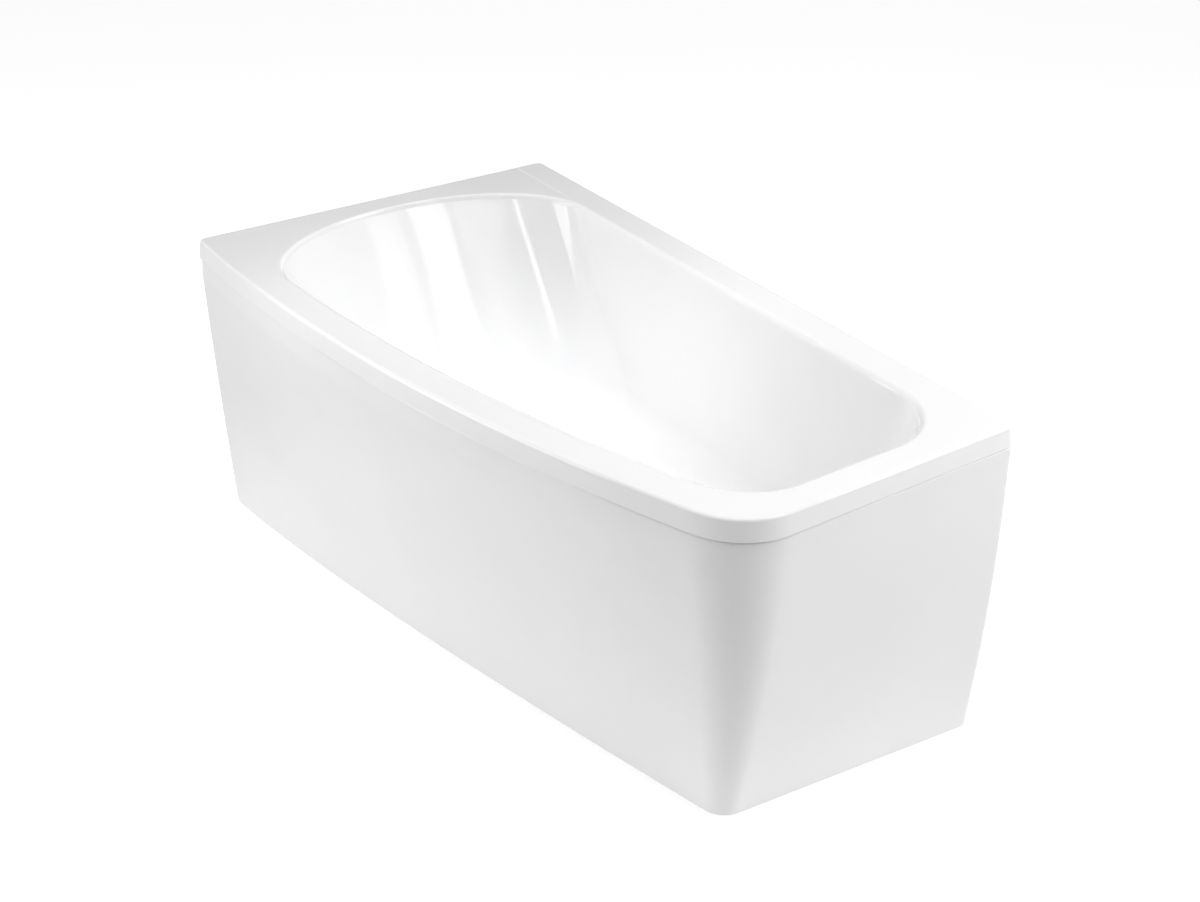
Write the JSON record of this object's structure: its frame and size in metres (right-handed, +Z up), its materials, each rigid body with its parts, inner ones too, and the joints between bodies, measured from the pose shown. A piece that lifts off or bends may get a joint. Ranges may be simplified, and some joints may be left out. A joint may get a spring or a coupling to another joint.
{
  "type": "panelled bathtub",
  "caption": "Asymmetric acrylic bath with a bowed front, a wide reclined head end, a moulded wrap-round apron, a levelling leg frame and a pop-up waste.",
  "frame": {"origin": "on the floor, under the middle of the overall box", "axes": "+X towards the narrow foot end with the waste, +Y towards the long wall side, +Z up"},
  "size_m": [1.5002, 0.85, 0.65],
  "materials": {
    "white_acrylic": "high gloss white acrylic sheet",
    "resin_backing": "rough sprayed glass-fibre resin",
    "timber_board": "raw particle board and softwood",
    "zinc_steel": "zinc-plated steel",
    "chrome_plate": "polished chrome plate",
    "white_plastic": "satin moulded polypropylene",
    "black_plastic": "satin moulded plastic",
    "black_rubber": "matt rubber",
    "grey_hose": "ribbed flexible hose"
  },
  "bodies": {
    "bath": {"apron_panel": "white_acrylic", "base_board": "timber_board", "bath_shell": "white_acrylic", "drain_body": "white_plastic", "drain_flange": "chrome_plate", "drain_gasket": "black_rubber", "foot_apron_screw": "zinc_steel", "foot_apron_strut": "zinc_steel", "foot_batten": "timber_board", "foot_bracket_screw": "zinc_steel", "foot_channel": "zinc_steel", "foot_post": "zinc_steel", "foot_wall_bracket": "zinc_steel", "front_rail": "zinc_steel", "head_apron_screw": "zinc_steel", "head_apron_strut": "zinc_steel", "head_batten": "timber_board", "head_bracket_screw": "zinc_steel", "head_channel": "zinc_steel", "head_post": "zinc_steel", "head_wall_bracket": "zinc_steel", "hose_nut": "black_plastic", "lock_nut_1": "zinc_steel", "lock_nut_2": "zinc_steel", "lock_nut_3": "zinc_steel", "lock_nut_4": "zinc_steel", "outlet_nut": "black_plastic", "outlet_pipe": "white_plastic", "overflow_body": "white_plastic", "overflow_gasket": "black_rubber", "overflow_hose": "grey_hose", "overflow_plate": "chrome_plate", "plug_cable": "black_plastic", "rear_batten": "timber_board", "rear_rail": "zinc_steel", "resin_backing_skin": "resin_backing", "rim_clip_1": "zinc_steel", "rim_clip_2": "zinc_steel", "rim_clip_3": "zinc_steel", "top_nut_1": "zinc_steel", "top_nut_2": "zinc_steel", "top_nut_3": "zinc_steel", "top_nut_4": "zinc_steel", "trap_body": "white_plastic", "trap_cup": "black_plastic", "trap_union_nut": "black_plastic"},
    "overflow_control": {"overflow_knob": "chrome_plate", "knob_spindle": "zinc_steel"},
    "pop_up_plug": {"plug_cap": "chrome_plate", "plug_seal": "black_rubber", "plug_stem": "zinc_steel"},
    "levelling_foot_1": {"foot_pad_1": "black_plastic", "foot_stud_1": "zinc_steel"},
    "levelling_foot_2": {"foot_pad_2": "black_plastic", "foot_stud_2": "zinc_steel"},
    "levelling_foot_3": {"foot_pad_3": "black_plastic", "foot_stud_3": "zinc_steel"},
    "levelling_foot_4": {"foot_pad_4": "black_plastic", "foot_stud_4": "zinc_steel"}
  },
  "joints": [
    {"name": "overflow_turn", "type": "hinge", "parent": "bath", "child": "overflow_control", "pos_m": [0.67567, 0.095, 0.572], "axis": [-0.9903, 0, 0.1392], "range_deg": [0, 110]},
    {"name": "plug_lift", "type": "slide", "parent": "bath", "child": "pop_up_plug", "axis": [0, 0, 1], "range_m": [0, 0.01]},
    {"name": "foot_level_1", "type": "slide", "parent": "bath", "child": "levelling_foot_1", "axis": [0, 0, -1], "range_m": [-0.005, 0.02]},
    {"name": "foot_level_2", "type": "slide", "parent": "bath", "child": "levelling_foot_2", "axis": [0, 0, -1], "range_m": [-0.005, 0.02]},
    {"name": "foot_level_3", "type": "slide", "parent": "bath", "child": "levelling_foot_3", "axis": [0, 0, -1], "range_m": [-0.005, 0.02]},
    {"name": "foot_level_4", "type": "slide", "parent": "bath", "child": "levelling_foot_4", "axis": [0, 0, -1], "range_m": [-0.005, 0.02]}
  ],
  "couplings": [
    {"joint": "plug_lift", "follows": "overflow_turn", "m_per_rad": 0.0052}
  ]
}
